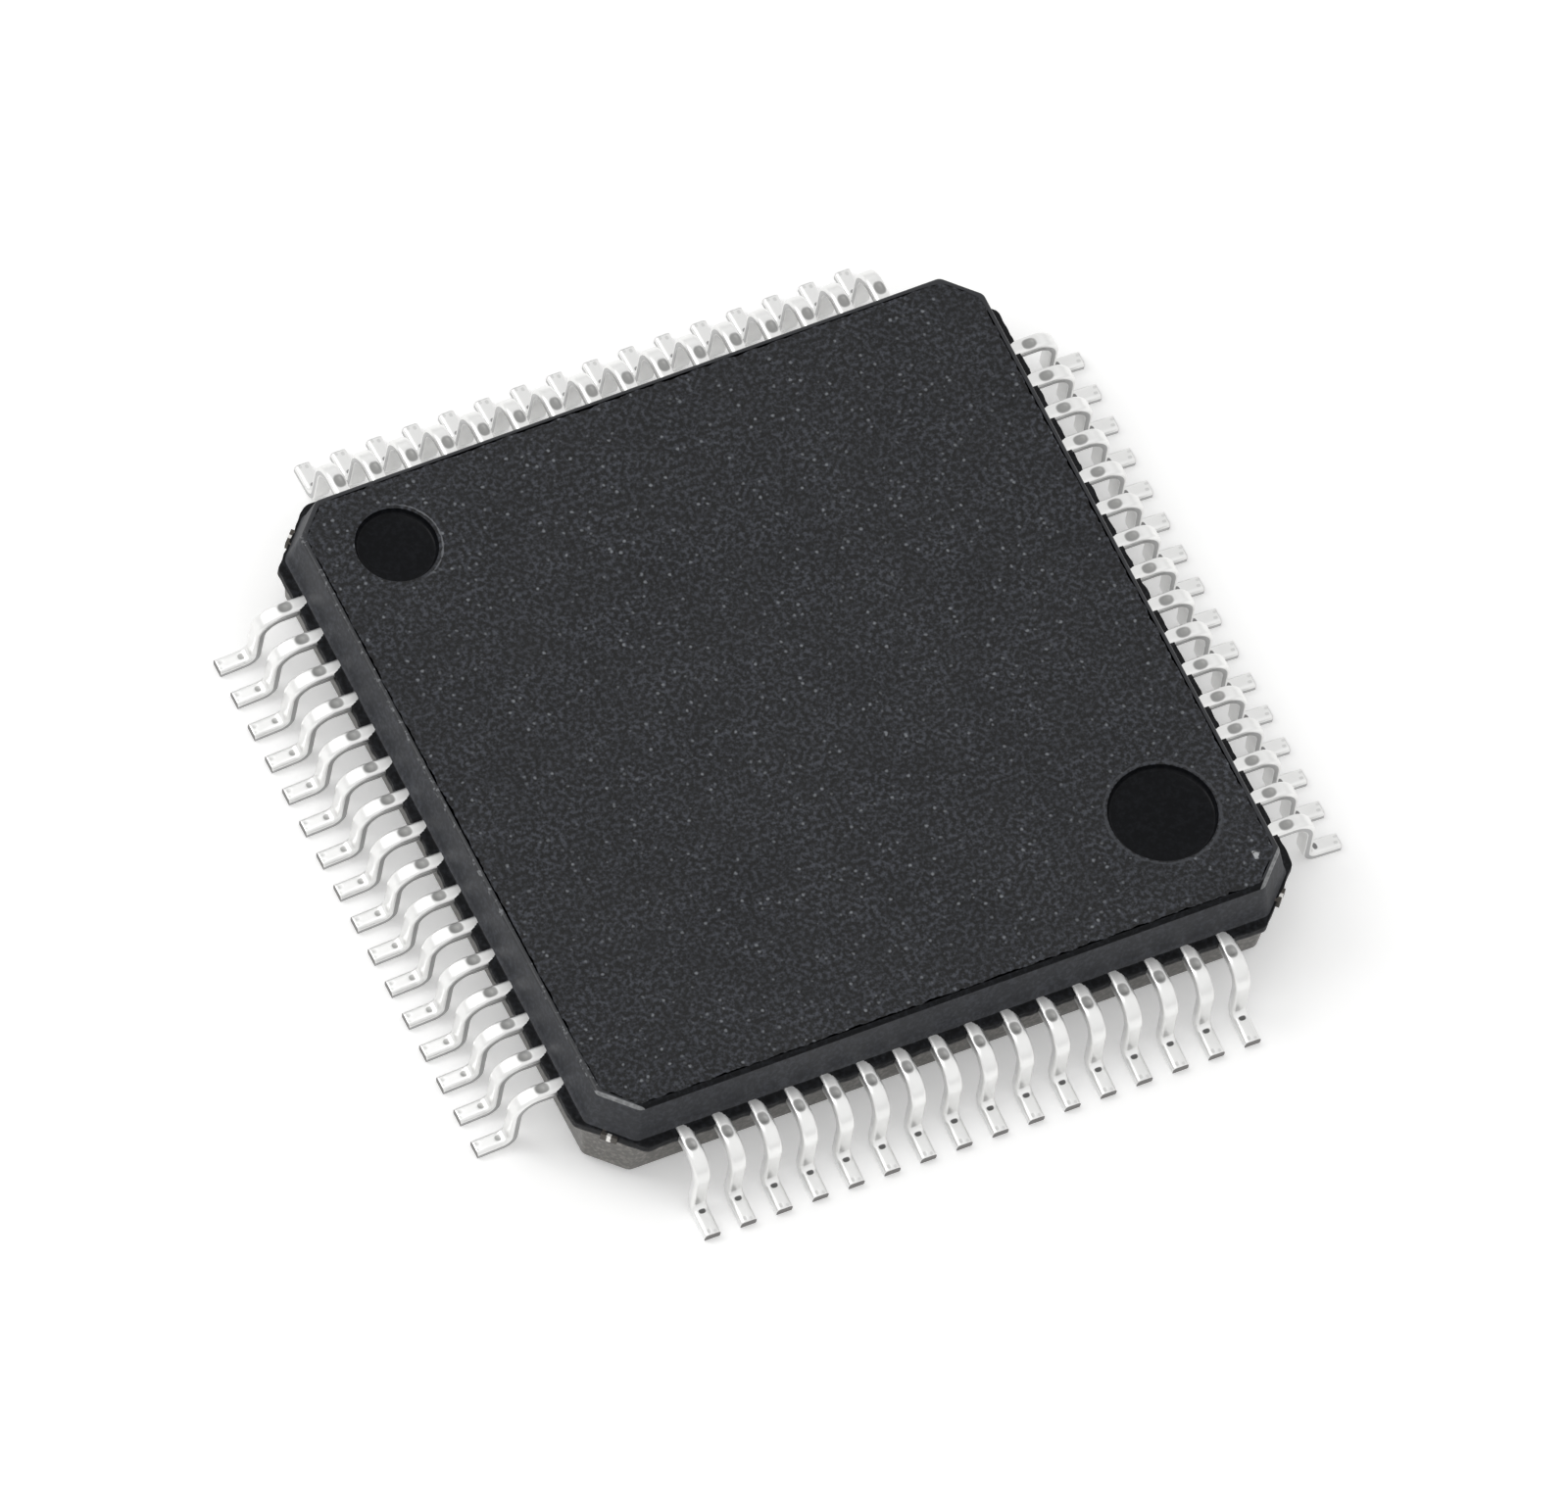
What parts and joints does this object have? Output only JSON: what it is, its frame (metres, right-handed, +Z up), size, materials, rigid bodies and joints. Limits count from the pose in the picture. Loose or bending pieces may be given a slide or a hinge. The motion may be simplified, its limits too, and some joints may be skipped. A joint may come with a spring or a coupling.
{
  "type": "quad flat package converter chip",
  "caption": "Low-profile square chip package with a black moulded body, cut corners, round recesses on top and gull-wing leads on every side.",
  "frame": {"origin": "middle of the footprint on the seating plane that the toes of the leads stand on", "axes": "+Z up through the top face, -Y towards the row of leads 17 to 32, -X towards the row of leads 1 to 16; pin 1 is at the -X, +Y corner"},
  "size_m": [0.012, 0.012, 0.0016],
  "materials": {
    "moulding": "spark-eroded grain on the top face, smoother drafted walls",
    "tin_plate": "bright tin plate with soft reflections",
    "copper_strip": "bare copper alloy strip",
    "adhesive": "silver-filled, dull",
    "silicon": "polished",
    "gold_wire": "bright"
  },
  "bodies": {
    "root": {"moulded_body": "moulding", "leads_left": "tin_plate", "leads_front": "tin_plate", "leads_right": "tin_plate", "leads_back": "tin_plate", "die_pad": "copper_strip", "die_adhesive": "adhesive", "silicon_die": "silicon", "bond_wires_left": "gold_wire", "bond_wires_front": "gold_wire", "bond_wires_right": "gold_wire", "bond_wires_back": "gold_wire"}
  },
  "joints": []
}
